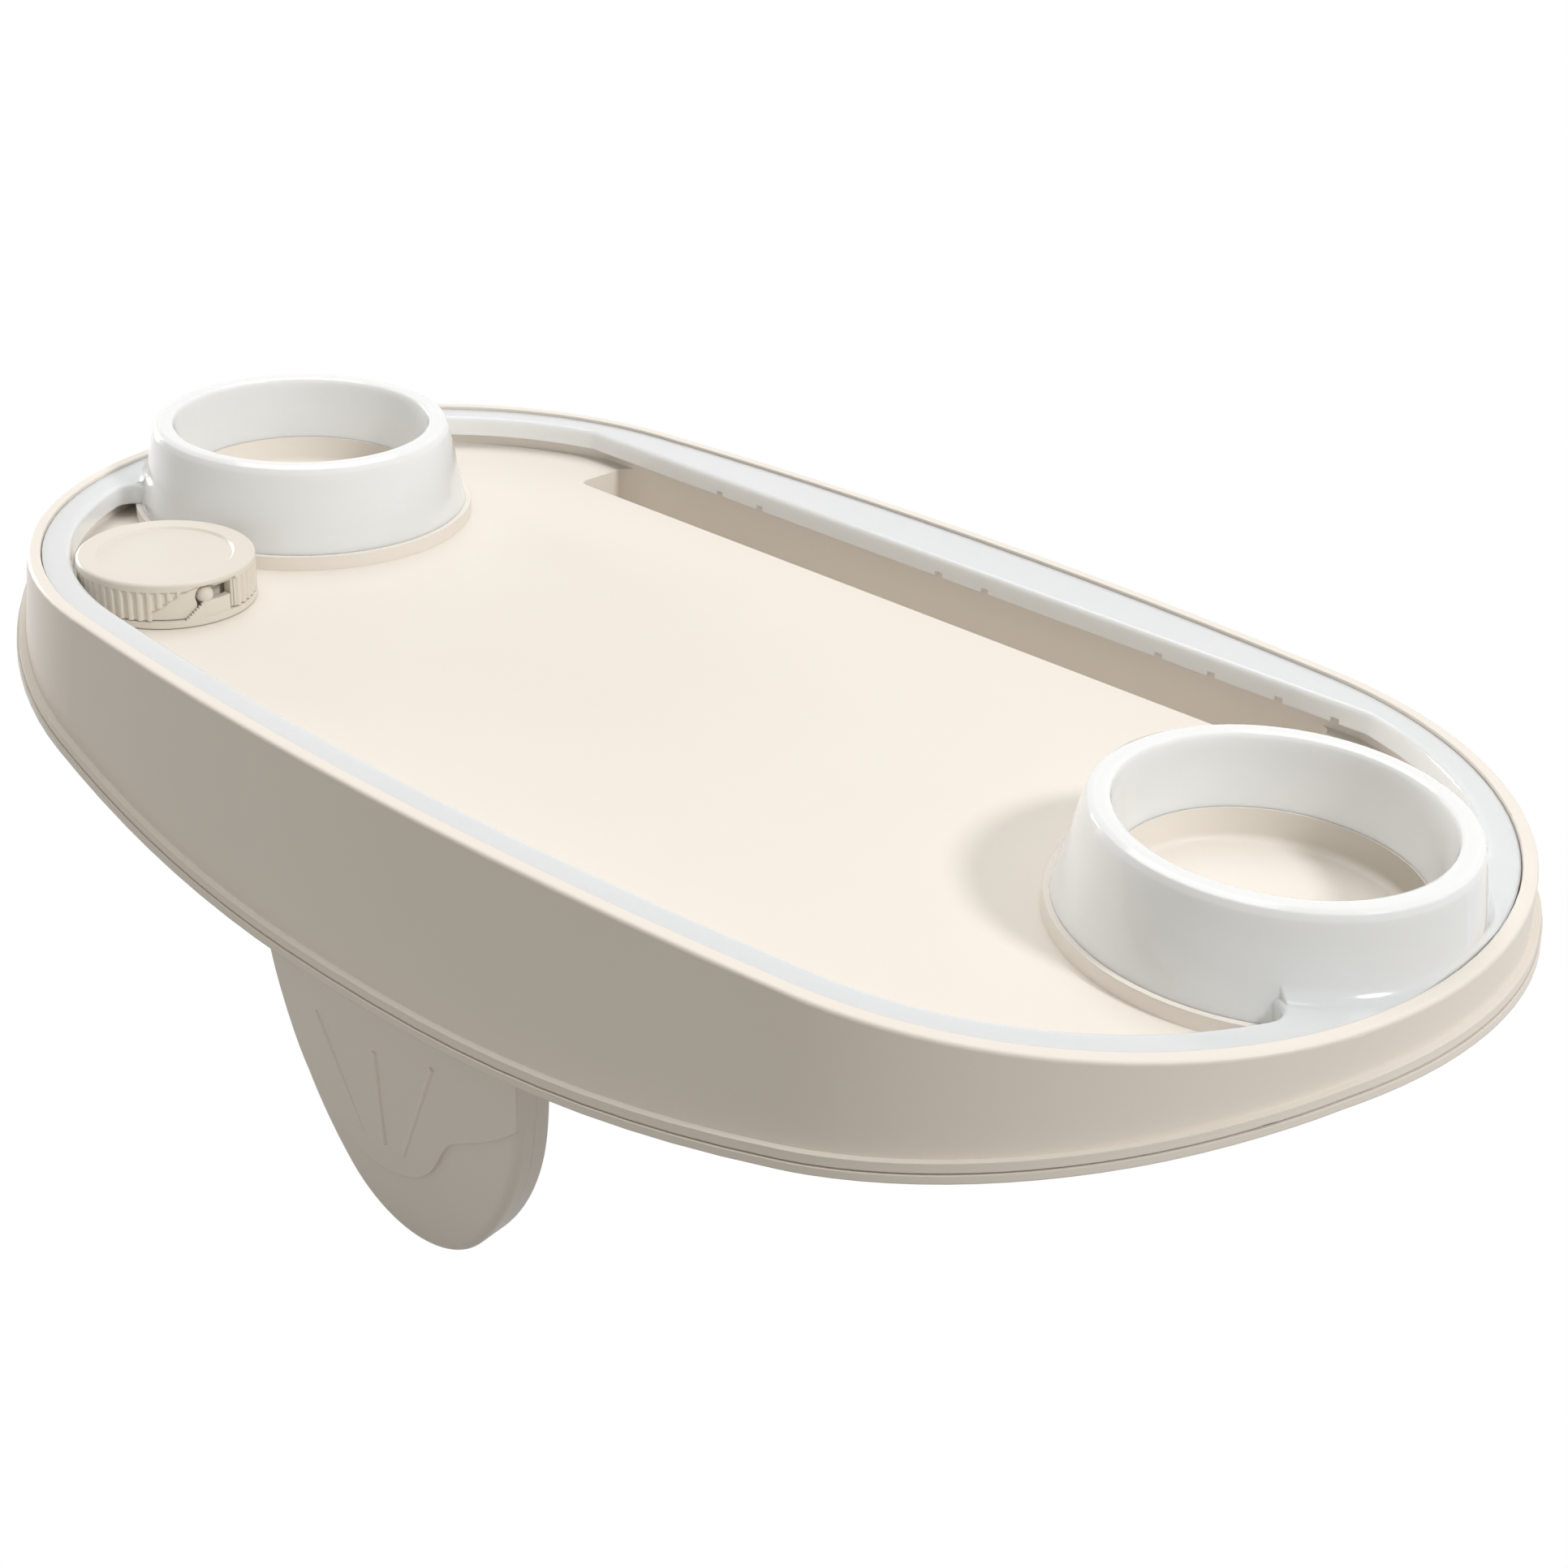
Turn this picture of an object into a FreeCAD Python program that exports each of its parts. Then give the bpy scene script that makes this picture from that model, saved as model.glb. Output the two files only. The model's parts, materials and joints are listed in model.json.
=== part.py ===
import FreeCAD, Part
import math
import os

os.makedirs("parts", exist_ok=True)
V = FreeCAD.Vector

# Frame: X along the tray, Y towards the device slot, Z up, zero at the flat crown of the underside

# Rim outline seen from above
half_length = 262.6
half_width = 141.5
side_radius = 1373.0
end_radius = 149.3
corner_radius = 127.7

# Heights above the crown
rim_height = 20.1
deck_height = 7.0
shelf_height = 11.8
well_floor = 9.0
spigot_height = 19.2
slot_floor = -14.0

# Shell
wall = 2.4
lip_width = 4.2
lip_round = 1.2
end_draft = 0.14
side_draft = 0.079
fit_gap = 0.4
running_gap = 0.3

# Lower edge, which drops from the ends to the middle of the long sides
end_height = 4.0
belly_height = -43.3
edge_profile = [(0.0, 1.0), (0.152, 0.985), (0.305, 0.918), (0.438, 0.808), (0.571, 0.65), (0.685, 0.488),
                (0.8, 0.315), (0.895, 0.165), (0.971, 0.05), (1.036, -0.01), (1.12, -0.05)]
bead_reach = 2.4
bead_height = 2.6
pan_lip_reach = 3.0
pan_lip_height = 2.2
groove_height = 0.5
groove_reach = 0.9
tongue_height = 9.0
tongue_thickness = 1.6

# Deck, slot and band
deck_inset = 10.0
band_width = 9.5
band_drop = 1.0
band_skin = 2.0
slot_inset = 47.3
slot_width = 25.8
slot_overhang = 5.0
slot_end_inset = 107.1
slot_corner = 4.0
opening_round = 6.5
crest_round = 1.4
fascia_notch = 3.0
fascia_notch_height = 1.6
fascia_notch_gap = 20.0
fascia_notch_places = [-92.0, 12.0, 103.0, 148.0]

# Cup wells and their collars
collar_inset = 60.6
collar_foot_r = 58.1
collar_crown_r = 52.2
collar_crown_height = 38.6
collar_top = 41.4
collar_mouth_r = 45.0
collar_throat_r = 42.6
collar_skin = 2.2
collar_bite = 3.0
collar_flare = 3.5
boss_r = 60.0
spigot_wall = 2.5
well_r = 42.1
well_fillet = 2.5

# Filler neck and cap
cap_gap = 0.675
cap_collar_gap = 3.088
neck_r = 22.6
neck_bore_r = 18.6
neck_height = 18.9
cap_r = 28.8
rib_depth = 0.8
rib_count = 56
cap_skirt_r = 24.6
cap_top = 22.6
cap_recess_r = 21.3
cap_recess = 0.8
cap_plate = 2.4
seal_outer_r = 24.0
tether_height = 2.2
tether_arm_height = 15.0
ball_r = 2.9
ball_height = 16.7
ball_angle = -8.8
ball_slot = 7.0
window_start = -14.0
window_end = 11.5
window_top = 19.4
rib_cut = [(-46.0, 12.0), (-24.0, 19.1), (-17.0, 20.7)]
rib_cut_depth = 1.4
rib_cut_steps = 6
ramp_lead = 22.0
ramp_steps = 7

# Underside channel that sits over the tub wall
seat_half_width = 84.0
seat_shoulder = 16.0
seat_draft = 10.0

# Leg
leg_inset = 12.5
leg_rear = 5.5
leg_front = 6.0
leg_bulge = 1.5
leg_lean = 5.7
leg_sunk = 14.0
leg_tip = -142.5
leg_arcs = [(37.7, 50.5), (108.8, 29.1), (189.3, 10.4)]
leg_round = 3.0
leg_skin = 2.2
leg_panel = 1.2
leg_contour = [(-53.6, -50.0), (-52.3, -62.8), (-48.0, -82.1), (-38.0, -103.5), (-29.5, -111.3),
               (-21.8, -116.3), (-11.6, -118.3), (-1.3, -116.6), (9.2, -111.4), (17.3, -101.7),
               (24.2, -90.8), (31.0, -86.3), (47.5, -75.5), (57.0, -66.0)]
leg_ridges = [(-33.0, -69.8, -17.0, -107.8), (-6.0, -71.5, -6.8, -107.2), (20.5, -63.9, 1.6, -107.5)]
ridge_r = 0.9
leg_screw_x = 38.0
leg_screw_set = 3.6
leg_boss_r = 3.4

# Fasteners
screw_columns = [(157.6, -1, 22.0), (57.6, -1, 20.0), (57.6, 1, 20.0), (150.6, 1, 8.8)]
screw_r = 1.5
pilot_r = 1.3
pilot_spare = 1.0
screw_head_r = 3.0
screw_head_height = 2.0
screw_length = 12.0
post_r = 4.2
pan_boss_r = 5.6
pan_boss_height = 5.4

# Lamps under the band
strip_width = 4.4
strip_thickness = 1.0
lamp_long = 3.0
lamp_wide = 2.4
lamp_high = 0.9
lamp_pitch = 24.0
strip_end_inset = 111.0
ring_board_gap = 1.0
ring_board_width = 7.6
ring_lamps = 12

# Battery bay, button and board
bay_inset = 25.0
bay_depth = 15.9
bay_wall = 2.0
bay_spare = 1.6
door_margin = 3.0
door_end = 8.0
door_thickness = 2.0
door_recess = 1.2
seal_thickness = 0.8
seal_width = 2.2
cell_r = 5.25
cell_length = 44.5
cell_pitch = 11.4
contact_thickness = 0.5
contact_reach = 2.6
door_screw_length = 8.0
door_screw_sink = 0.9
button_x = 66.0
button_r = 7.0
button_proud = 1.0
button_travel = 1.2
button_flange = 1.2
button_seat_height = 5.0
switch_size = 6.0
switch_height = 2.0
board_length = 36.0
board_width = 18.0
board_thickness = 1.6
chip_offset = 9.5
chip_size = 5.0
chip_height = 1.2

# Places that follow from the sizes above
clear = 60.0
reach = half_length + clear
floor = belly_height - clear / 2
sky = collar_top + clear
pan_wall = wall
collar_x = half_length - collar_inset
collars = [-collar_x, collar_x]
spigot_r = well_r + spigot_wall
slot_near_y = half_width - slot_inset
slot_far_y = slot_near_y + slot_width
slot_half_length = half_length - slot_end_inset
crest_y = slot_far_y - slot_overhang
fascia_inset = lip_width + band_width
band_top = rim_height - band_drop
deck_under = deck_height - wall
shelf_under = shelf_height - wall
strip_half_length = half_length - strip_end_inset
leg_y = leg_inset - half_width
bay_y = half_width - bay_inset
door_face = belly_height + door_recess
bay_roof = door_face + bay_depth
bay_length = cell_length + 2 * (contact_reach + running_gap)
bay_width = 2 * cell_pitch + 2 * cell_r + 2 * bay_spare


def arc(a, m, b):
    return Part.Arc(a, m, b).toShape()


def oval(grow, z, level=None):
    drop = 0.0 if level is None else rim_height - level
    a = half_length + end_draft * drop + grow
    b = half_width + side_draft * drop + grow
    rs = side_radius + grow
    re = end_radius + grow
    rc = corner_radius + grow
    side = V(0, b - rs, 0)
    end = V(a - re, 0, 0)
    u = end - side
    d = u.Length
    u.normalize()
    k = ((rs - rc) ** 2 - (re - rc) ** 2 + d * d) / (2 * d)
    h = math.sqrt((rs - rc) ** 2 - k * k)
    c = side + u * k + V(u.y, -u.x, 0) * h
    to_side = (c - side).normalize()
    to_end = (c - end).normalize()
    t1 = side + to_side * rs
    t2 = end + to_end * re
    m = c + (to_side + to_end).normalize() * rc

    def at(p, sx, sy):
        return V(sx * p.x, sy * p.y, z)

    top = V(0, b, 0)
    tip = V(a, 0, 0)
    edges = [
        arc(at(t1, -1, 1), at(top, 1, 1), at(t1, 1, 1)),
        arc(at(t1, 1, 1), at(m, 1, 1), at(t2, 1, 1)),
        arc(at(t2, 1, 1), at(tip, 1, 1), at(t2, 1, -1)),
        arc(at(t2, 1, -1), at(m, 1, -1), at(t1, 1, -1)),
        arc(at(t1, 1, -1), at(top, 1, -1), at(t1, -1, -1)),
        arc(at(t1, -1, -1), at(m, -1, -1), at(t2, -1, -1)),
        arc(at(t2, -1, -1), at(tip, -1, 1), at(t2, -1, 1)),
        arc(at(t2, -1, 1), at(m, -1, 1), at(t1, -1, 1)),
    ]
    return Part.Wire(edges)


# The filler cap nests between the fascia of the band and the foot of the left collar
beside_band = oval(-fascia_inset - cap_gap - cap_r, 0)
beside_collar = Part.Circle(V(-collar_x, 0, 0), V(0, 0, 1), collar_foot_r + cap_collar_gap + cap_r).toShape()
nests = [pair[0] for pair in beside_band.distToShape(beside_collar)[1]]
cap_at = max([spot for spot in nests if spot.y < 0], key=lambda spot: spot.x)
cap_x = cap_at.x
cap_y = cap_at.y


def bowl(grow, low, high):
    whole = Part.makeLoft([oval(grow, floor, floor), oval(grow, rim_height, rim_height)], True, True)
    return whole.common(block(-2 * reach, 2 * reach, -reach, reach, low, high))


def prism(wire, height):
    return Part.Face(wire).extrude(V(0, 0, height))


def block(x0, x1, y0, y1, z0, z1):
    return Part.makeBox(x1 - x0, y1 - y0, z1 - z0, V(x0, y0, z0))


def rod(x, y, r, z0, z1):
    return Part.makeCylinder(r, z1 - z0, V(x, y, z0))


def polygon(points):
    return Part.makePolygon(points + [points[0]])


def lower_curve(lift):
    drop = belly_height - end_height
    right = [(share * half_length, end_height + drop * f + lift) for share, f in edge_profile]
    left = [(-x, z) for x, z in reversed(right[1:])]
    curve = Part.BSplineCurve()
    curve.interpolate([V(x, -reach, z) for x, z in left + right])
    return curve


def below(lift, deep=None):
    deep = floor if deep is None else deep
    curve = lower_curve(lift)
    a = curve.StartPoint
    b = curve.EndPoint
    deep_a = V(a.x, a.y, deep)
    deep_b = V(b.x, b.y, deep)
    lines = [Part.makeLine(b, deep_b), Part.makeLine(deep_b, deep_a), Part.makeLine(deep_a, a)]
    face = Part.Face(Part.Wire([curve.toShape()] + lines))
    return face.extrude(V(0, 2 * reach, 0))


def edge_height(x):
    upright = Part.makeLine(V(x, -reach, floor), V(x, -reach, rim_height))
    return lower_curve(0.0).toShape().distToShape(upright)[1][0][0].z


def channel(grow):
    w = seat_half_width + grow
    spread = math.tan(math.radians(seat_draft)) * (grow - floor)
    corners = [(-w - spread, floor), (-w, grow), (w, grow), (w + spread, floor)]
    solid = Part.Face(polygon([V(-reach, y, z) for y, z in corners])).extrude(V(2 * reach, 0, 0))
    ridges = [e for e in solid.Edges if abs(e.BoundBox.ZMin - grow) < 0.01 and e.BoundBox.XLength > reach]
    return solid.makeFillet(seat_shoulder + grow, ridges)


def rounded_box(x0, x1, y0, y1, z0, z1, r):
    solid = block(x0, x1, y0, y1, z0, z1)
    uprights = [e for e in solid.Edges if e.BoundBox.ZLength > 0.9 * (z1 - z0)]
    return solid.makeFillet(r, uprights)


def rims(shape, z):
    return [e for e in shape.Edges if e.BoundBox.ZLength < 0.01 and abs(e.BoundBox.ZMin - z) < 0.01
            and e.BoundBox.XLength > 1]


def revolve(points, x, y):
    face = Part.Face(polygon([V(x + r, y, z) for r, z in points]))
    return face.revolve(V(x, y, 0), V(0, 0, 1), 360)


def export(name, shape):
    shape = shape.removeSplitter()
    shape.exportStep("parts/" + name + ".step")


def outline_y(x, side):
    ray = Part.makeLine(V(x, 0, 0), V(x, side * reach, 0))
    return oval(0.0, 0.0).distToShape(ray)[1][0][0].y


def outline_spot(x, side, inset):
    return (x, outline_y(x, side) - side * inset)


screw_places = [outline_spot(end * (half_length - end_inset), side, inset)
                for end_inset, side, inset in screw_columns for end in (-1, 1)]
under_pan = below(0.0).fuse(channel(0.0))
over_pan = below(pan_wall).fuse(channel(pan_wall))


def deck_area(grow, z, height):
    area = prism(oval(grow - deck_inset, z), height)
    return area.common(block(-reach, reach, -reach, slot_far_y + grow, z - 1, z + height + 1))


def slot_pit(grow, low, high):
    x = slot_half_length + grow
    return rounded_box(-x, x, slot_near_y - grow, slot_far_y + grow, low, high, slot_corner + grow)


# Top moulding
groove_top = pan_lip_height + groove_height
body = bowl(0.0, floor, rim_height)
rim_edges = [e for e in body.Edges if e.BoundBox.ZMin > rim_height - 0.01]
body = body.makeFillet(lip_round, rim_edges)
body = body.fuse(bowl(bead_reach, floor, shelf_height).common(below(groove_top + bead_height)))
body = body.cut(below(groove_top)).cut(channel(groove_top))
body = body.cut(prism(oval(-lip_width, shelf_height), rim_height))
body = body.cut(deck_area(0.0, deck_height, rim_height))
lip_clear = prism(oval(-lip_width, deck_height - 1), sky)
for x in collars:
    body = body.fuse(rod(x, 0, boss_r, deck_under, shelf_height).common(lip_clear))
    body = body.fuse(rod(x, 0, spigot_r, deck_under, spigot_height))
core = bowl(-wall, floor, rim_height)
roof = block(-reach, reach, -reach, reach, deck_under, sky)
trough = prism(oval(2 * wall, deck_under - 1), shelf_under - deck_under + 1)
roof = roof.cut(trough.cut(deck_area(wall, deck_under - 2, rim_height)))
for x in collars:
    roof = roof.cut(rod(x, 0, boss_r - wall, deck_under - 1, shelf_under))
    roof = roof.fuse(rod(x, 0, spigot_r, deck_under, shelf_height))
    roof = roof.cut(rod(x, 0, well_r - wall, deck_under - 1, well_floor - wall))
hollow = core.cut(roof).cut(slot_pit(wall, slot_floor - wall, rim_height))
body = body.cut(hollow)
body = body.cut(slot_pit(0.0, slot_floor, rim_height + 1))
for x in collars:
    well = rod(x, 0, well_r, well_floor, sky)
    foot = rims(well, well_floor)
    body = body.cut(well.makeFillet(well_fillet, foot))
body = body.fuse(rod(cap_x, cap_y, neck_r, deck_under, neck_height))
body = body.cut(rod(cap_x, cap_y, neck_bore_r, deck_under - 1, sky))
for x, y in screw_places:
    seat = edge_height(x) + pan_boss_height
    body = body.fuse(rod(x, y, post_r, seat, shelf_under + wall / 2).cut(deck_area(0.0, deck_height, rim_height)))
    body = body.cut(rod(x, y, pilot_r, seat - 1, seat + screw_length - screw_head_height + pilot_spare))
export("tray_body", body)


# Bottom moulding
pan = bowl(-wall - fit_gap, floor, rim_height).common(over_pan).cut(under_pan)
lip_ring = bowl(pan_lip_reach, floor, shelf_height).common(below(pan_lip_height))
groove_ring = bowl(groove_reach, floor, shelf_height).common(below(groove_top))
tongue = bowl(-wall - fit_gap, floor, shelf_under - fit_gap).common(below(tongue_height))
ring = lip_ring.fuse(groove_ring)
ring = ring.fuse(tongue)
ring = ring.cut(bowl(-wall - fit_gap - tongue_thickness, floor - 1, rim_height + 1))
pan = pan.fuse(ring).cut(under_pan)


def around_bay(dx, dy, z0, z1):
    x = bay_length / 2 + dx
    y = bay_width / 2 + dy
    return block(-x, x, bay_y - y, bay_y + y, z0, z1)


def around_door(shrink, z0, z1):
    x = bay_length / 2 + door_end - shrink
    y = bay_width / 2 + door_margin - shrink
    return rounded_box(-x, x, bay_y - y, bay_y + y, z0, z1, door_margin - shrink)


ledge = door_face + door_thickness + seal_thickness
door_screw_x = bay_length / 2 + door_end / 2 + fit_gap
door_screw_top = door_face + door_screw_sink + door_screw_length
inside_pan = bowl(-wall - fit_gap, floor, rim_height).cut(under_pan)
bay = around_bay(bay_wall, bay_wall, ledge, bay_roof + bay_wall)
bay = bay.fuse(around_bay(door_end + bay_wall, door_margin + bay_wall, floor, ledge + bay_wall))
for side in (-1, 1):
    bay = bay.fuse(rod(side * door_screw_x, bay_y, leg_boss_r, ledge, door_screw_top + 1.2))
pan = pan.fuse(bay.common(inside_pan))
pan = pan.cut(around_door(0.0, floor, ledge)).cut(around_bay(0.0, 0.0, floor, bay_roof))
for side in (-1, 1):
    pan = pan.cut(rod(side * door_screw_x, bay_y, pilot_r, ledge - 1, door_screw_top + 0.5))
for x, y in screw_places:
    seat = edge_height(x)
    pan = pan.fuse(rod(x, y, pan_boss_r, floor, seat + pan_boss_height).common(inside_pan))
    pan = pan.cut(rod(x, y, screw_r + 0.25, floor, seat + pan_boss_height + 1))
    pan = pan.cut(rod(x, y, screw_head_r + 0.3, floor, seat + pan_boss_height - screw_head_height))
button_seat = edge_height(button_x)
button_ledge = button_seat + button_seat_height
switch_low = button_ledge + running_gap + button_flange + button_travel + 0.1
board_low = switch_low + switch_height
pan = pan.fuse(rod(button_x, bay_y, button_r + 2.6, floor, button_ledge).common(inside_pan))
pan = pan.cut(rod(button_x, bay_y, button_r + running_gap, floor, button_ledge + 1))
for dx in (-1, 1):
    for dy in (-1, 1):
        x = button_x + dx * (board_length / 2 - 2.5)
        y = bay_y + dy * (board_width / 2 - 2.5)
        pan = pan.fuse(rod(x, y, 2.0, floor, board_low).common(inside_pan))
for side in (-1, 1):
    pan = pan.cut(rod(side * leg_screw_x, leg_y - leg_screw_set, screw_r + 0.1, floor, deck_under))
export("base_pan", pan)


# Light band with its collars
def collar_solid(x, skin):
    top = collar_top - skin
    crown = collar_crown_r - skin * 0.95
    foot = collar_foot_r - skin
    mouth = collar_mouth_r + skin
    throat = collar_throat_r + skin
    points = [(foot, shelf_height), (crown, collar_crown_height - skin), (crown - 0.8, top - 0.9),
              (crown - 2.4, top), (mouth + 1.3, top), (mouth + 0.3, top - 0.5), (mouth, top - 1.4),
              (throat, spigot_height)]
    if skin:
        return revolve(points + [(throat, shelf_height)], x, 0)
    step = throat + collar_skin
    return revolve(points + [(step, spigot_height), (step, shelf_height)], x, 0)


def flare_solid(x):
    taper = (collar_foot_r - collar_crown_r) / (collar_crown_height - shelf_height)
    r = collar_foot_r - taper * (band_top - shelf_height)
    low = V(x + r + collar_flare, 0, band_top)
    high = V(x + r - taper * collar_flare, 0, band_top + collar_flare)
    bend = V(x + r + collar_flare * 0.27, 0, band_top + collar_flare * 0.29)
    inner = [V(high.x - 1, 0, high.z), V(x + r - 1, 0, band_top - 1), V(low.x, 0, band_top - 1)]
    sides = [high] + inner + [low]
    wire = Part.Wire([arc(low, bend, high)] + [Part.makeLine(p, q) for p, q in zip(sides[:-1], sides[1:])])
    return Part.Face(wire).revolve(V(x, 0, 0), V(0, 0, 1), 360)


mouth_area = Part.Face(oval(-fascia_inset, shelf_height))
mouth_area = mouth_area.common(Part.makePlane(2 * reach, reach + crest_y, V(-reach, -reach, shelf_height)))
for x in collars:
    mouth_area = mouth_area.cut(rod(x, 0, collar_foot_r - collar_bite, shelf_height - 1, shelf_height + 1))
mouth_area = max(mouth_area.Faces, key=lambda f: f.Area)
mouth_area = mouth_area.makeOffset2D(-opening_round).makeOffset2D(opening_round)
fascia_area = mouth_area.makeOffset2D(band_skin)
rise = band_top - shelf_height
opening = mouth_area.extrude(V(0, 0, rise + 1))
flare_clear = mouth_area.makeOffset2D(crest_round).extrude(V(0, 0, sky))
plate = prism(oval(-lip_width - fit_gap, band_top - band_skin), band_skin).cut(opening)
fascia = fascia_area.extrude(V(0, 0, rise - 0.5)).cut(opening)
band = plate.fuse(fascia).removeSplitter()
rim_line = oval(-lip_width - fit_gap, band_top)
crest = [e for e in band.Edges if e.BoundBox.ZMin > band_top - 0.01 and rim_line.distToShape(e)[0] > 1.0]
band = band.makeFillet(crest_round, crest)

for x in collars:
    cone = [(0, shelf_height - 1), (collar_foot_r, shelf_height - 1), (collar_foot_r, shelf_height),
            (collar_crown_r, collar_crown_height), (0, collar_crown_height)]
    band = band.cut(revolve(cone, x, 0))
    band = band.fuse(collar_solid(x, 0.0).cut(collar_solid(x, collar_skin)))
    band = band.fuse(flare_solid(x).cut(flare_clear))
band = band.common(prism(oval(-lip_width - fit_gap, shelf_height - 1), sky))
for place in fascia_notch_places:
    for side in (-1, 1):
        x = place + side * fascia_notch_gap / 2
        band = band.cut(block(x - fascia_notch / 2, x + fascia_notch / 2, crest_y - 1, slot_far_y,
                              shelf_height - 1, shelf_height + fascia_notch_height))
export("light_band", band)


# Lamp strips and ring boards under the band
def lamp(x, y, dx, dy):
    return block(x - dx / 2, x + dx / 2, y - dy / 2, y + dy / 2, shelf_height + strip_thickness / 2,
                 shelf_height + strip_thickness + lamp_high)


def strip(side):
    centre = (deck_inset + lip_width + fit_gap) / 2
    inner = prism(oval(-centre - strip_width / 2, shelf_height - 1), 3)
    tape = prism(oval(-centre + strip_width / 2, shelf_height), strip_thickness).cut(inner)
    y0, y1 = sorted([0, side * reach])
    tape = tape.common(block(-strip_half_length, strip_half_length, y0, y1, shelf_height - 1, rim_height))
    line = oval(-centre, shelf_height)
    count = int(strip_half_length * 2 / lamp_pitch)
    for i in range(count):
        x = (i - (count - 1) / 2) * lamp_pitch
        ray = Part.makeLine(V(x, side, shelf_height), V(x, reach * side, shelf_height))
        y = line.distToShape(ray)[1][0][0].y
        tape = tape.fuse(lamp(x, y, lamp_long, lamp_wide))
    return tape


export("led_strip_near", strip(-1))
export("led_strip_far", strip(1))
ring_board_in = spigot_r + ring_board_gap
for name, x in (("led_ring_left", -collar_x), ("led_ring_right", collar_x)):
    board = rod(x, 0, ring_board_in + ring_board_width, shelf_height, shelf_height + strip_thickness)
    board = board.cut(rod(x, 0, ring_board_in, shelf_height - 1, rim_height))
    for i in range(ring_lamps):
        one = lamp(x + ring_board_in + ring_board_width / 2, 0, lamp_wide, lamp_long)
        one.rotate(V(x, 0, 0), V(0, 0, 1), 360.0 * (i + 0.5) / ring_lamps)
        board = board.fuse(one)
    export(name, board)


# Filler cap, its seal and its tether
def wedge(r0, r1, a0, a1, z0, z1):
    turns = [math.radians(a) for a in (a0, (a0 + a1) / 2, a1)]
    inner = [V(r0 * math.cos(a), r0 * math.sin(a), z0) for a in turns]
    outer = [V(r1 * math.cos(a), r1 * math.sin(a), z0) for a in turns]
    wire = Part.Wire([arc(*inner), Part.makeLine(inner[2], outer[2]), arc(*reversed(outer)),
                      Part.makeLine(outer[0], inner[0])])
    solid = prism(wire, z1 - z0)
    solid.translate(V(cap_x, cap_y, 0))
    return solid


def radial_pin(angle, r, z, r0, r1):
    a = math.radians(angle)
    out = V(math.cos(a), math.sin(a), 0)
    return Part.makeCylinder(r, r1 - r0, V(cap_x, cap_y, z) + out * r0, out)


def ribbed(r, depth, count, z0, z1):
    points = []
    step = 2 * math.pi / count
    for i in range(count):
        for share, rr in ((0.0, r - depth), (0.3, r - depth), (0.5, r), (0.8, r)):
            a = (i + share) * step
            points.append(V(cap_x + rr * math.cos(a), cap_y + rr * math.sin(a), z0))
    return prism(polygon(points), z1 - z0)


skirt_low = deck_height + tether_height + 2 * running_gap
seal_low = neck_height + running_gap
cap_under = cap_top - cap_plate
smooth_r = cap_r - rib_depth
cap = ribbed(cap_r, rib_depth, rib_count, skirt_low, cap_top - 1.8)
crown = rod(cap_x, cap_y, cap_r, cap_top - 2.8, cap_top)
crown = crown.makeFillet(lip_round, rims(crown, cap_top))
cap = cap.fuse(crown)
recess_at = V(cap_x, cap_y, cap_top - cap_recess)
recess = Part.makeCone(cap_recess_r, cap_recess_r + cap_recess, cap_recess, recess_at)
cap = cap.cut(recess)
cap = cap.cut(rod(cap_x, cap_y, cap_skirt_r, skirt_low - 1, cap_under))
rib_cut_r = cap_r - rib_cut_depth
for (a0, z0), (a1, z1) in zip(rib_cut[:-1], rib_cut[1:]):
    turn = (a1 - a0) / rib_cut_steps
    lift = (z1 - z0) / rib_cut_steps
    for i in range(rib_cut_steps):
        start = a0 + i * turn
        cap = cap.cut(wedge(rib_cut_r, cap_r + 1, start, start + turn, skirt_low - 1, z0 + (i + 1) * lift))
cut_start, cut_top = rib_cut[-1]
cap = cap.cut(wedge(rib_cut_r, cap_r + 1, cut_start, window_end + 2, skirt_low - 1, cut_top))
cap = cap.cut(wedge(cap_skirt_r - 1, cap_r + 1, window_start, window_end, skirt_low - 1, window_top))
cap = cap.cut(radial_pin(ball_angle, ball_r + 3 * running_gap, ball_height, cap_skirt_r - 1, cap_r + 2))
slot_start = ball_angle - ball_slot
cap = cap.cut(wedge(cap_skirt_r - 1, cap_r + 1, slot_start, ball_angle, skirt_low - 1, ball_height))
export("filler_cap", cap)

seal = rod(cap_x, cap_y, seal_outer_r, seal_low, cap_under)
seal = seal.cut(rod(cap_x, cap_y, neck_bore_r + fit_gap, neck_height, cap_under + 1))
export("cap_seal", seal)

ring_in = neck_r + 0.5
tether = rod(cap_x, cap_y, cap_r, deck_height + running_gap, deck_height + running_gap + tether_height)
tether = tether.cut(rod(cap_x, cap_y, ring_in, deck_height - 1, skirt_low))
arm_in = cap_skirt_r + 1.0
arm_start = window_start + 2
tether = tether.fuse(wedge(arm_in, smooth_r, arm_start, window_end - 2, deck_height + 1, tether_arm_height))
ramp_start = rib_cut[0][0] + ramp_lead
for i in range(ramp_steps):
    a0 = ramp_start + (arm_start - ramp_start) * i / ramp_steps
    z = skirt_low + (tether_arm_height - skirt_low) * (i + 0.5) / ramp_steps
    tether = tether.fuse(wedge(rib_cut_r + running_gap, cap_r, a0, arm_start + 0.2, deck_height + 1, z))
a = math.radians(ball_angle)
ball_set = cap_r - ball_r
ball_at = V(cap_x + ball_set * math.cos(a), cap_y + ball_set * math.sin(a), ball_height)
tether = tether.fuse(Part.makeSphere(ball_r, ball_at))
export("cap_tether", tether)


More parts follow.
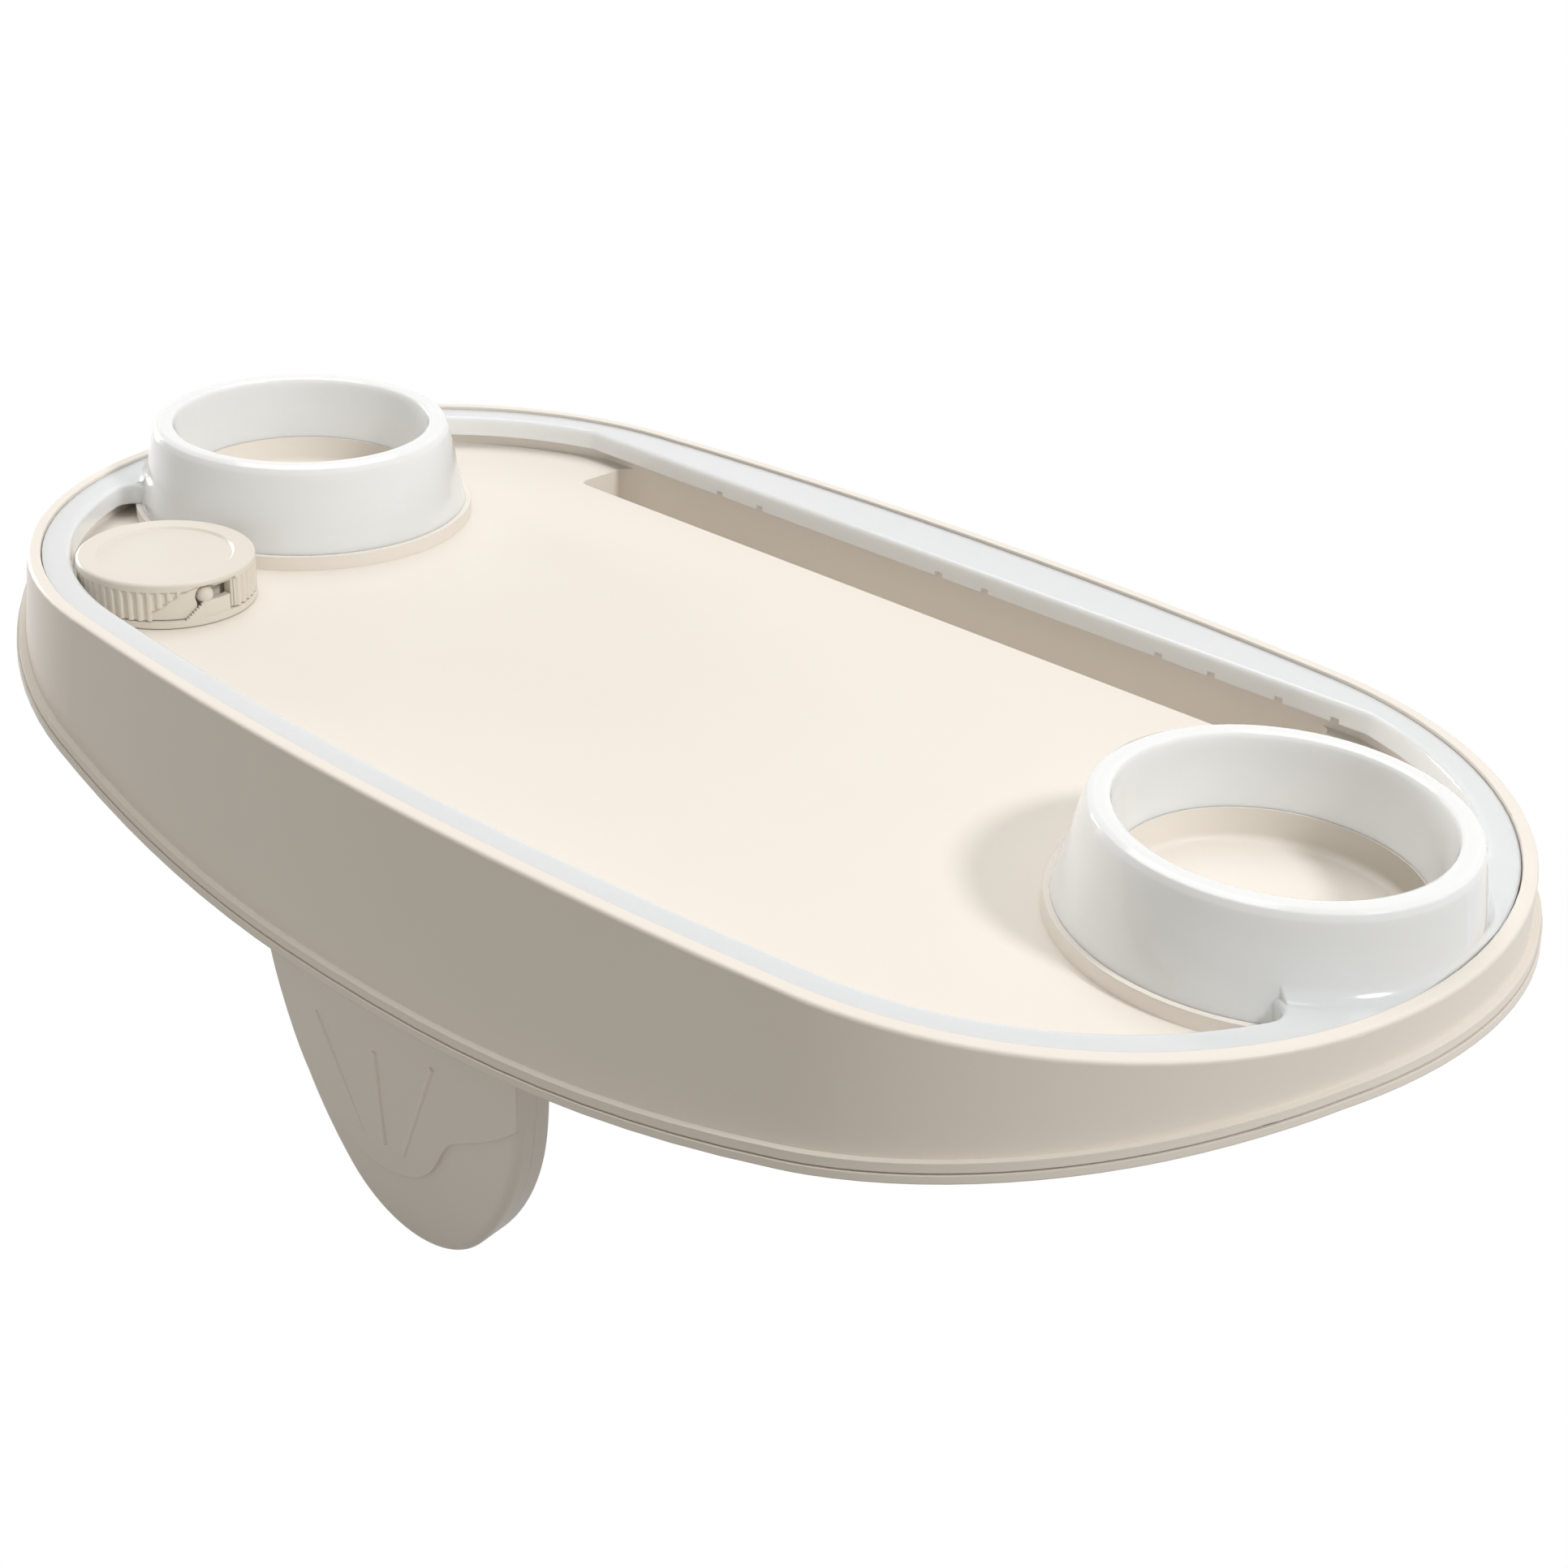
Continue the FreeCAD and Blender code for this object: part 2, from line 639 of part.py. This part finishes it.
# Leg, drawn upright and then leaned in towards the tub wall
def leg_side(shrink):
    arcs = []
    start = V(0, 0, leg_tip)
    turn = 0.0
    for r, angle in leg_arcs:
        centre = start + V(-r * math.sin(turn), 0, r * math.cos(turn))
        turns = [turn + math.radians(angle) * share for share in (0.0, 0.5, 1.0)]
        rays = [V(math.sin(t), 0, -math.cos(t)) for t in turns]
        arcs.append([centre + ray * (r - shrink) for ray in rays])
        start = centre + rays[-1] * r
        turn = turns[-1]
    return arcs


leg_half = leg_side(0.0)[-1][-1].x


def leg_outline(shrink):
    right = leg_side(shrink)
    left = [[V(-p.x, 0, p.z) for p in reversed(spots)] for spots in reversed(right)]
    last = right[-1][-1]
    top = edge_height(0) + leg_sunk
    ends = [last, V(last.x, 0, top), V(-last.x, 0, top), left[0][0]]
    sides = [Part.makeLine(p, q) for p, q in zip(ends[:-1], ends[1:])]
    solid = Part.Face(Part.Wire([arc(*spots) for spots in left + right] + sides)).extrude(V(0, -clear, 0))
    solid.translate(V(0, leg_y + clear / 2, 0))
    return solid


def leg_section(rear, front, bulge):
    low = leg_tip - 5
    w = leg_half + 5
    a = V(-w, leg_y + rear, low)
    b = V(w, leg_y + rear, low)
    c = V(w, leg_y - front, low)
    m = V(0, leg_y - front - bulge, low)
    d = V(-w, leg_y - front, low)
    wire = Part.Wire([Part.makeLine(a, b), Part.makeLine(b, c), arc(c, m, d), Part.makeLine(d, a)])
    return prism(wire, -low)


def lean(shape):
    shape.rotate(V(0, leg_y, belly_height), V(1, 0, 0), leg_lean)
    return shape.common(below(0.0, leg_tip - clear))


leg = leg_outline(0.0).common(leg_section(leg_rear, leg_front, leg_bulge))
face_edges = [e for e in leg.Edges if e.BoundBox.YMax < leg_y and e.BoundBox.ZMin < belly_height - 2]
leg = leg.makeFillet(leg_round, face_edges)
contour = [V(x, leg_y, z) for x, z in leg_contour]
panel_line = Part.BSplineCurve()
panel_line.interpolate(contour)
ends = [contour[-1], V(contour[-1].x, leg_y, 0), V(contour[0].x, leg_y, 0), contour[0]]
sides = [Part.makeLine(p, q) for p, q in zip(ends[:-1], ends[1:])]
panel = Part.Face(Part.Wire([panel_line.toShape()] + sides)).extrude(V(0, -clear, 0))
panel = panel.common(leg_section(0.0, leg_front + leg_panel, leg_bulge)).common(leg_outline(-leg_panel / 2))
leg = leg.fuse(panel)
for x0, z0, x1, z1 in leg_ridges:
    run = V(x1 - x0, 0, z1 - z0)
    rib = Part.makeCylinder(ridge_r, run.Length, V(x0, 0, z0), run)
    depth = leg_bulge * (1 - (x0 / (leg_half + 5)) ** 2)
    rib.translate(V(0, leg_y - leg_front - leg_panel - depth + ridge_r / 3, 0))
    leg = leg.fuse(rib)
inside = leg_outline(leg_skin).common(leg_section(leg_rear - leg_skin, leg_front - leg_skin, leg_bulge))
inside = inside.common(block(-reach, reach, -reach, 0, leg_tip, belly_height - leg_skin - 1))
leg_screw_y = leg_y - leg_screw_set
for side in (-1, 1):
    inside = inside.cut(rod(side * leg_screw_x, leg_screw_y, leg_boss_r, belly_height - screw_length - 2, 0))
leg = leg.cut(inside)
parting = block(-reach, reach, leg_y, 0, leg_tip - clear, 0)
front_shell = lean(leg.cut(parting))
for side in (-1, 1):
    hole = rod(side * leg_screw_x, leg_screw_y, pilot_r, belly_height - screw_length + 2, deck_under)
    front_shell = front_shell.cut(hole)
export("leg_front_shell", front_shell)
export("leg_rear_shell", lean(leg.common(parting)))


# Screws of the leg and of the two mouldings
def screw(x, y, head_z, length, head_r, head_high, r):
    shank = rod(x, y, r, head_z, head_z + length)
    head = rod(x, y, head_r, head_z - head_high, head_z)
    head = head.makeChamfer(0.5, rims(head, head_z - head_high))
    for dx, dy in ((head_r * 0.6, 0.4), (0.4, head_r * 0.6)):
        head = head.cut(block(x - dx, x + dx, y - dy, y + dy, head_z - head_high - 1, head_z - 0.9))
    return shank.fuse(head)


screws = []
for x, y in screw_places:
    seat = edge_height(x) + pan_boss_height - screw_head_height
    screws.append(screw(x, y, seat, screw_length, screw_head_r, 1.8, pilot_r))
export("body_screws", Part.makeCompound(screws))

screws = []
for side in (-1, 1):
    x = side * leg_screw_x
    head = edge_height(x) + pan_wall
    one = screw(x, leg_screw_y, 0.0, screw_length, screw_head_r, 1.8, pilot_r)
    one.rotate(V(x, leg_screw_y, 0), V(1, 0, 0), 180)
    one.translate(V(0, 0, head + 0.1))
    screws.append(one)
export("leg_screws", Part.makeCompound(screws))

# Battery cells, contacts, door and its seal
cell_z = bay_roof - running_gap - cell_r
cell_rows = [bay_y + i * cell_pitch for i in (-1, 0, 1)]
cells = []
for y in cell_rows:
    can = Part.makeCylinder(cell_r, cell_length - 1.0, V(-cell_length / 2, y, cell_z), V(1, 0, 0))
    cells.append(can.fuse(Part.makeCylinder(1.9, 1.5, V(cell_length / 2 - 1.5, y, cell_z), V(1, 0, 0))))
export("battery_cells", Part.makeCompound(cells))

contacts = []
for side in (-1, 1):
    for y in cell_rows:
        x = side * bay_length / 2
        x0, x1 = sorted([x, x - side * contact_thickness])
        half = cell_r - 0.7
        sheet = block(x0, x1, y - half, y + half, cell_z - half, cell_z + half)
        knob = Part.makeCone(3.0, 1.4, contact_reach, V(x, y, cell_z), V(-side, 0, 0))
        contacts.append(sheet.fuse(knob))
export("battery_contacts", Part.makeCompound(contacts))

door = around_door(running_gap, door_face, door_face + door_thickness)
fence_gap = running_gap + 0.6
fence = around_bay(-fence_gap, -fence_gap, door_face + 1, ledge + 1.2)
door = door.fuse(fence.cut(around_bay(-fence_gap - 1.6, -fence_gap - 1.6, door_face, ledge + 3)))
for x in (-cell_length / 4, cell_length / 4):
    y = bay_width / 2 - 2
    cradle = block(x - 0.8, x + 0.8, bay_y - y, bay_y + y, door_face + 1, cell_z - 1.5)
    for y in cell_rows:
        cradle = cradle.cut(Part.makeCylinder(cell_r + running_gap, 4, V(x - 2, y, cell_z), V(1, 0, 0)))
    door = door.fuse(cradle)
for side in (-1, 1):
    door = door.cut(rod(side * door_screw_x, bay_y, screw_r + 0.1, floor, ledge))
    door = door.cut(rod(side * door_screw_x, bay_y, screw_head_r - 0.3, floor, door_face + door_screw_sink))
export("battery_door", door)

door_seal = around_bay(seal_width, seal_width, door_face + door_thickness, ledge)
door_seal = door_seal.cut(around_bay(-0.2, -0.2, floor, ledge + 1))
export("door_seal", door_seal)

screws = []
for side in (-1, 1):
    screws.append(screw(side * door_screw_x, bay_y, door_face + door_screw_sink, door_screw_length,
                        screw_head_r - 0.6, 1.3, pilot_r))
export("door_screws", Part.makeCompound(screws))

# Push button and the board above it
button = rod(button_x, bay_y, button_r, button_seat - button_proud, button_ledge + running_gap)
button = button.makeChamfer(0.8, rims(button, button_seat - button_proud))
flange_low = button_ledge + running_gap
flange = rod(button_x, bay_y, button_r + 1.6, flange_low, flange_low + button_flange)
export("push_button", button.fuse(flange))


def on_board(x, dx, dy, z, height):
    return block(x - dx / 2, x + dx / 2, bay_y - dy / 2, bay_y + dy / 2, z, z + height)


board = on_board(button_x, board_length, board_width, board_low, board_thickness)
board = board.fuse(on_board(button_x, switch_size, switch_size, switch_low, switch_height))
chip_x = button_x + chip_offset
board = board.fuse(on_board(chip_x, chip_size, chip_size, board_low + board_thickness, chip_height))
export("control_board", board)
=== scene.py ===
"""Hot tub tray: finishes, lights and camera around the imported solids."""

import json
import math

import bpy
from mathutils import Matrix, Vector


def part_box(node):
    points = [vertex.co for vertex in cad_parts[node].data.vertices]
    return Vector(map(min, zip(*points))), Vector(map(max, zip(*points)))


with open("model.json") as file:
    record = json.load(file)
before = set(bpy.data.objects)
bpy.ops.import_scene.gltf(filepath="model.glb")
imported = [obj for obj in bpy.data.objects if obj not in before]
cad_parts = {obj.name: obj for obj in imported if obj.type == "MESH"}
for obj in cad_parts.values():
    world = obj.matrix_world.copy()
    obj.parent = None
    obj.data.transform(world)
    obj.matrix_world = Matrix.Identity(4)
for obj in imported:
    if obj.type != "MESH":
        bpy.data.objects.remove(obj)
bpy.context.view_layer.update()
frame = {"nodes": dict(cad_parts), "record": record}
nodes = frame["nodes"]

leg_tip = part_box("leg_front_shell")[0].z

# Metres in the tray's own frame
WELL_X = 0.202  # from the middle of the tray to each well's axis
WELL_REACH = 0.0436  # just past the radius of the wells' bores
LEDGE_TOP = 0.020  # the light band's flat run lies below this height
COLLAR_START = 0.030  # above this height there is only collar
FLOOR_GAP = 0.0004
FLOOR_REACH = 9.0


# Steps that the node trees are built from

def new_group(name, inputs, outputs):
    """A node group with its number inputs and their defaults, and its outputs and their kinds."""
    group = bpy.data.node_groups.new(name, "ShaderNodeTree")
    for label, value in inputs.items():
        socket = group.interface.new_socket(name=label, in_out="INPUT", socket_type="NodeSocketFloat")
        socket.default_value = value
    for label, kind in outputs.items():
        group.interface.new_socket(name=label, in_out="OUTPUT", socket_type=kind)
    g_in = group.nodes.new("NodeGroupInput")
    g_out = group.nodes.new("NodeGroupOutput")
    return group, g_in.outputs, g_out.inputs


def set_values(node, values):
    for label, value in values.items():
        node.inputs[label].default_value = value


def sums(tree, operation, *terms):
    """One step of arithmetic on sockets and plain numbers."""
    node = tree.nodes.new("ShaderNodeMath")
    node.operation = operation
    for socket, term in zip(node.inputs, terms):
        if isinstance(term, float):
            socket.default_value = term
        else:
            tree.links.new(term, socket)
    return node.outputs[0]


def clamped(tree, value):
    node = tree.nodes.new("ShaderNodeClamp")
    tree.links.new(value, node.inputs["Value"])
    return node.outputs["Result"]


def along_axes(tree, vector):
    node = tree.nodes.new("ShaderNodeSeparateXYZ")
    tree.links.new(vector, node.inputs[0])
    return node.outputs


def own_place(tree):
    return tree.nodes.new("ShaderNodeTexCoord").outputs["Object"]


def face_normal(tree):
    return tree.nodes.new("ShaderNodeNewGeometry").outputs["Normal"]


def facing_up(tree):
    """One on faces that look straight up, nothing on upright and lower ones."""
    return clamped(tree, along_axes(tree, face_normal(tree))["Z"])


def noise(tree, scale, detail, roughness=0.5):
    """Noise that stays with the piece, its scale in steps per metre."""
    node = tree.nodes.new("ShaderNodeTexNoise")
    set_values(node, {"Detail": detail, "Roughness": roughness})
    tree.links.new(own_place(tree), node.inputs["Vector"])
    tree.links.new(scale, node.inputs["Scale"])
    return node.outputs["Fac"]


def spread(tree, value, low, high, start=0.0, end=1.0):
    """Carries the range from start to end over to the one from low to high."""
    node = tree.nodes.new("ShaderNodeMapRange")
    set_values(node, {"From Min": start, "From Max": end, "To Min": low, "To Max": high})
    tree.links.new(value, node.inputs["Value"])
    return node.outputs["Result"]


def blend_colour(tree, factor, a, b):
    """Colour a where the factor is nothing and b where it is one; each is a tuple or a socket."""
    mix = tree.nodes.new("ShaderNodeMix")
    mix.data_type = "RGBA"
    tree.links.new(factor, mix.inputs["Factor"])
    for i, colour in ((6, a), (7, b)):
        if isinstance(colour, tuple):
            mix.inputs[i].default_value = colour
        else:
            tree.links.new(colour, mix.inputs[i])
    return mix.outputs[2]


def bumped(tree, height, normal, strength, depth):
    node = tree.nodes.new("ShaderNodeBump")
    set_values(node, {"Strength": strength, "Distance": depth})
    tree.links.new(height, node.inputs["Height"])
    tree.links.new(normal, node.inputs["Normal"])
    return node.outputs["Normal"]


# Node groups that several finishes share

def make_spark_grain():
    """The fine even pitting that a spark-finished mould leaves on plastic."""
    group, g_in, g_out = new_group(
        "spark_grain", {"Grain per metre": 1400.0, "Flow per metre": 9.0},
        {"Height": "NodeSocketFloat", "Mottle": "NodeSocketFloat"})
    pits = noise(group, g_in["Grain per metre"], 3.0, 0.62)
    flow = noise(group, g_in["Flow per metre"], 2.0)
    group.links.new(pits, g_out["Height"])
    group.links.new(flow, g_out["Mottle"])
    return group


def make_soft_edges():
    """Rounds the shading of crisp edges and says where they are, for rubbed and paler rims; on the milky
    band the paler rims are partly painted highlight.
    """
    group, g_in, g_out = new_group(
        "soft_edges", {"Radius": 0.0005, "Rub": 3.0},
        {"Normal": "NodeSocketVector", "Edge": "NodeSocketFloat"})
    bevel = group.nodes.new("ShaderNodeBevel")
    bevel.samples = 6
    group.links.new(g_in["Radius"], bevel.inputs["Radius"])
    dot = group.nodes.new("ShaderNodeVectorMath")
    dot.operation = "DOT_PRODUCT"
    group.links.new(bevel.outputs["Normal"], dot.inputs[0])
    group.links.new(face_normal(group), dot.inputs[1])
    away = sums(group, "SUBTRACT", 1.0, dot.outputs["Value"])
    rub = sums(group, "MULTIPLY", away, g_in["Rub"])
    group.links.new(bevel.outputs["Normal"], g_out["Normal"])
    group.links.new(clamped(group, rub), g_out["Edge"])
    return group


def make_settled_dust():
    """A thin film that settles on faces that look up, broken by a soft cloud."""
    group, g_in, g_out = new_group(
        "settled_dust", {"Cloud per metre": 22.0, "Amount": 0.3}, {"Dust": "NodeSocketFloat"})
    cloud = noise(group, g_in["Cloud per metre"], 5.0)
    film = sums(group, "MULTIPLY", facing_up(group), cloud)
    group.links.new(sums(group, "MULTIPLY", film, g_in["Amount"]), g_out["Dust"])
    return group


def make_painted_well_shade():
    """Painted shade: one on the side of the wells' upright bores that faces away from the key lamp, where
    their collars keep the light off.
    """
    group, g_in, g_out = new_group(
        "painted_well_shade", {"Apart": WELL_X, "Radius": WELL_REACH}, {"Painted shade": "NodeSocketFloat"})
    place = along_axes(group, own_place(group))
    x = sums(group, "SUBTRACT", sums(group, "ABSOLUTE", place["X"]), g_in["Apart"])
    squares = sums(group, "ADD", sums(group, "MULTIPLY", x, x),
                   sums(group, "MULTIPLY", place["Y"], place["Y"]))
    inside = sums(group, "LESS_THAN", sums(group, "SQRT", squares), g_in["Radius"])
    facing = along_axes(group, face_normal(group))
    upright = sums(group, "SUBTRACT", 1.0, sums(group, "ABSOLUTE", facing["Z"]))
    lee = sums(group, "MULTIPLY", sums(group, "SUBTRACT", 1.0, facing["X"]), 0.5)
    painted_bore_shade = sums(group, "MULTIPLY", sums(group, "MULTIPLY", inside, upright), lee)
    group.links.new(painted_bore_shade, g_out["Painted shade"])
    return group


spark_grain = make_spark_grain()
soft_edges = make_soft_edges()
settled_dust = make_settled_dust()
painted_well_shade = make_painted_well_shade()


# Finishes

def place_group(tree, group, **values):
    node = tree.nodes.new("ShaderNodeGroup")
    node.node_tree = group
    set_values(node, {label.replace("_", " "): value for label, value in values.items()})
    return node.outputs


def shade(r, g, b):
    """A colour as it is seen, in 0 to 255, turned into the light it stands for."""
    def light(v):
        v /= 255.0
        return v / 12.92 if v <= 0.04045 else ((v + 0.055) / 1.055) ** 2.4
    return (light(r), light(g), light(b), 1.0)


def new_finish(name):
    finish = bpy.data.materials.new(name)
    finish.use_nodes = True
    tree = finish.node_tree
    return finish, tree, tree.nodes["Principled BSDF"]


def moulded(name, colour, deeper, pale_edge, rough, grain=1400.0, depth=0.00002, dust=0.25, painted_bore_shade=None):
    """Moulded plastic with a spark grain, slight colour drift, paler edges and a little dust.

    Its last argument is the colour of painted shade on the lee side of the wells' upright bores, for the
    piece that holds them.
    """
    finish, tree, plastic = new_finish(name)
    grainy = place_group(tree, spark_grain, Grain_per_metre=grain, Flow_per_metre=7.0)
    edges = place_group(tree, soft_edges, Radius=0.0005, Rub=2.5)
    film = place_group(tree, settled_dust, Cloud_per_metre=24.0, Amount=dust)
    body = blend_colour(tree, grainy["Mottle"], shade(*colour), shade(*deeper))
    # Painted shade darkens the wells' bores on their lee side
    if painted_bore_shade:
        body = blend_colour(tree, place_group(tree, painted_well_shade)["Painted shade"], body, shade(*painted_bore_shade))
    edged = blend_colour(tree, edges["Edge"], body, shade(*pale_edge))
    dusty = blend_colour(tree, film["Dust"], edged, shade(*pale_edge))
    rub = spread(tree, grainy["Height"], rough - 0.05, rough + 0.07)
    tree.links.new(dusty, plastic.inputs["Base Color"])
    tree.links.new(rub, plastic.inputs["Roughness"])
    tree.links.new(bumped(tree, grainy["Height"], edges["Normal"], 0.5, depth), plastic.inputs["Normal"])
    plastic.inputs["IOR"].default_value = 1.48
    return finish


def make_milky_band():
    """Glossy milky plastic with painted light: a little greyer on the upward flat run of the band as
    painted shade, paler on its collars as painted glow of light through them.
    """
    finish, tree, plastic = new_finish("milky_band")
    grainy = place_group(tree, spark_grain, Grain_per_metre=240.0, Flow_per_metre=12.0)
    edges = place_group(tree, soft_edges, Radius=0.0008, Rub=2.0)
    run = blend_colour(tree, grainy["Mottle"], shade(229, 232, 236), shade(223, 227, 232))
    # Painted light: the upward-facing flat run gets a greyer colour as shade, the collars above a paler
    # one as glow through the plastic
    height = along_axes(tree, own_place(tree))["Z"]
    low = spread(tree, height, 1.0, 0.0, LEDGE_TOP, COLLAR_START)
    shaded_ledge = sums(tree, "MULTIPLY", facing_up(tree), low)
    milk_painted_lit_and_shaded = blend_colour(tree, shaded_ledge, shade(248, 252, 255), run)
    # Paler rims: partly rubbing, partly painted highlight along the band's crests and the collars' rims
    edged = blend_colour(tree, edges["Edge"], milk_painted_lit_and_shaded, shade(250, 250, 252))
    flow = bumped(tree, grainy["Mottle"], edges["Normal"], 0.25, 0.00006)
    tree.links.new(edged, plastic.inputs["Base Color"])
    tree.links.new(spread(tree, grainy["Height"], 0.1, 0.17), plastic.inputs["Roughness"])
    tree.links.new(flow, plastic.inputs["Normal"])
    set_values(plastic, {
        "IOR": 1.49, "Subsurface Weight": 0.5, "Subsurface Radius": (1.0, 1.0, 1.05),
        "Subsurface Scale": 0.005, "Coat Weight": 0.55, "Coat Roughness": 0.04})
    return finish


def make_screw_steel():
    finish, tree, metal = new_finish("screw_steel")
    grainy = place_group(tree, spark_grain, Grain_per_metre=5200.0, Flow_per_metre=160.0)
    edges = place_group(tree, soft_edges, Radius=0.0002, Rub=2.0)
    steel = blend_colour(tree, grainy["Mottle"], shade(176, 176, 178), shade(158, 158, 162))
    edged = blend_colour(tree, edges["Edge"], steel, shade(206, 206, 208))
    tree.links.new(edged, metal.inputs["Base Color"])
    tree.links.new(spread(tree, grainy["Height"], 0.28, 0.42), metal.inputs["Roughness"])
    tree.links.new(edges["Normal"], metal.inputs["Normal"])
    metal.inputs["Metallic"].default_value = 1.0
    return finish


# The tray's cream carries painted shade on the lee side of its wells' bores
cream_moulding = moulded("cream_moulding", (240, 234, 226), (236, 229, 220), (246, 242, 236), 0.44,
                         painted_bore_shade=(182, 174, 160))
cap_moulding = moulded("cap_moulding", (231, 225, 215), (226, 219, 208), (240, 235, 227), 0.42)
finishes = {
    "cream_plastic": cream_moulding,
    "milky_plastic": make_milky_band(),
    "lamp_board": moulded("lamp_board", (236, 236, 230), (226, 228, 222), (246, 246, 242), 0.3,
                          grain=3000.0, depth=0.00001, dust=0.1),
    "seal_rubber": moulded("seal_rubber", (58, 58, 60), (46, 46, 48), (84, 84, 86), 0.62,
                           grain=5200.0, depth=0.00003, dust=0.35),
    "button_rubber": moulded("button_rubber", (170, 163, 152), (160, 153, 142), (190, 183, 172), 0.66,
                             grain=5200.0, depth=0.00003, dust=0.2),
    "cell_sleeve": moulded("cell_sleeve", (70, 76, 86), (58, 64, 74), (110, 116, 124), 0.3,
                           grain=3600.0, depth=0.00001, dust=0.1),
    "board": moulded("board_green", (38, 96, 62), (30, 84, 52), (78, 128, 96), 0.34,
                     grain=3600.0, depth=0.00001, dust=0.1),
    "screw_steel": make_screw_steel(),
}
cap_pieces = ("filler_cap", "cap_tether")
for entry in frame["record"]["subparts"]:
    finish = cap_moulding if entry["node"] in cap_pieces else finishes[entry["material_slot"]]
    slots = nodes[entry["node"]].data.materials
    slots.clear()
    slots.append(finish)


# Floor, lamps, world and camera

def link(thing):
    bpy.context.scene.collection.objects.link(thing)


def seen_rays(tree):
    """One for the rays that show the backdrop itself: straight, mirrored or through something."""
    path = tree.nodes.new("ShaderNodeLightPath").outputs
    seen = sums(tree, "MAXIMUM", path["Is Camera Ray"], path["Is Glossy Ray"])
    return sums(tree, "MAXIMUM", seen, path["Is Transmission Ray"])


def make_floor():
    """A plain floor just below the leg, white where it is seen and grey to the light it throws back."""
    level = leg_tip - FLOOR_GAP
    corners = [(x * FLOOR_REACH, y * FLOOR_REACH, level) for x, y in ((-1, -1), (1, -1), (1, 1), (-1, 1))]
    mesh = bpy.data.meshes.new("floor")
    mesh.from_pydata(corners, [], [(0, 1, 2, 3)])
    floor = bpy.data.objects.new("floor", mesh)
    link(floor)
    paper, tree, plain = new_finish("floor_paper")
    tree.nodes.remove(plain)
    matt = tree.nodes.new("ShaderNodeBsdfDiffuse")
    matt.inputs["Color"].default_value = (0.38, 0.37, 0.35, 1.0)
    glow = tree.nodes.new("ShaderNodeEmission")
    glow.inputs["Strength"].default_value = 1.0
    both = tree.nodes.new("ShaderNodeMixShader")
    for source, socket in zip((seen_rays(tree), matt.outputs[0], glow.outputs[0]), both.inputs):
        tree.links.new(source, socket)
    tree.links.new(both.outputs[0], tree.nodes["Material Output"].inputs["Surface"])
    mesh.materials.append(paper)


def make_lamp(name, place, towards, size, power):
    """A round lamp; size is its width in metres and power its watts."""
    lamp = bpy.data.lights.new(name, "AREA")
    lamp.shape = "DISK"
    lamp.size = size
    lamp.energy = power
    holder = bpy.data.objects.new(name, lamp)
    link(holder)
    holder.location = place
    holder.rotation_mode = "QUATERNION"
    holder.rotation_quaternion = (Vector(towards) - Vector(place)).to_track_quat("-Z", "Y")


def make_room():
    """A warm dim room around the tray, plain white where it is seen."""
    world = bpy.data.worlds.new("room")
    bpy.context.scene.world = world
    world.use_nodes = True
    tree = world.node_tree
    sky = tree.nodes["Background"].inputs
    warm, white = (1.0, 0.955, 0.87, 1.0), (1.0, 1.0, 1.0, 1.0)
    tree.links.new(spread(tree, seen_rays(tree), 0.42, 1.0), sky["Strength"])
    tree.links.new(blend_colour(tree, seen_rays(tree), warm, white), sky["Color"])


def make_camera(eye, yaw, pitch, roll, focal):
    """A camera turned by degrees of yaw, pitch and roll; focal is in widths of the picture."""
    yaw, pitch, roll = (math.radians(angle) for angle in (yaw, pitch, roll))
    forward = Vector((-math.sin(yaw) * math.cos(pitch), math.cos(yaw) * math.cos(pitch), -math.sin(pitch)))
    level_right = Vector((math.cos(yaw), math.sin(yaw), 0.0))
    level_up = level_right.cross(forward)
    right = math.cos(roll) * level_right + math.sin(roll) * level_up
    up = -math.sin(roll) * level_right + math.cos(roll) * level_up
    lens = bpy.data.cameras.new("camera")
    lens.sensor_width = 36.0
    lens.lens = focal * lens.sensor_width
    lens.clip_start = 0.01
    lens.clip_end = 60.0
    camera = bpy.data.objects.new("camera", lens)
    link(camera)
    turn = Matrix((right, up, -forward)).transposed()
    camera.matrix_world = Matrix.Translation(eye) @ turn.to_4x4()
    bpy.context.scene.camera = camera


make_floor()
make_lamp("top_lamp", (-0.4, 0.3, 1.65), (0.0, 0.0, 0.0), 1.5, 12.0)
make_lamp("key_lamp", (1.75, 0.2, 1.6), (0.0, 0.0, 0.0), 0.4, 22.0)
make_lamp("end_lamp", (-1.5, 0.05, 0.12), (-0.15, 0.0, -0.01), 0.5, 12.0)
make_room()

# The camera stands where the photograph was taken from
make_camera(Vector((0.43768, -0.48984, 0.318193)), 39.576, 27.788, 3.44, 1.46)

bpy.context.scene.view_settings.view_transform = "Standard"
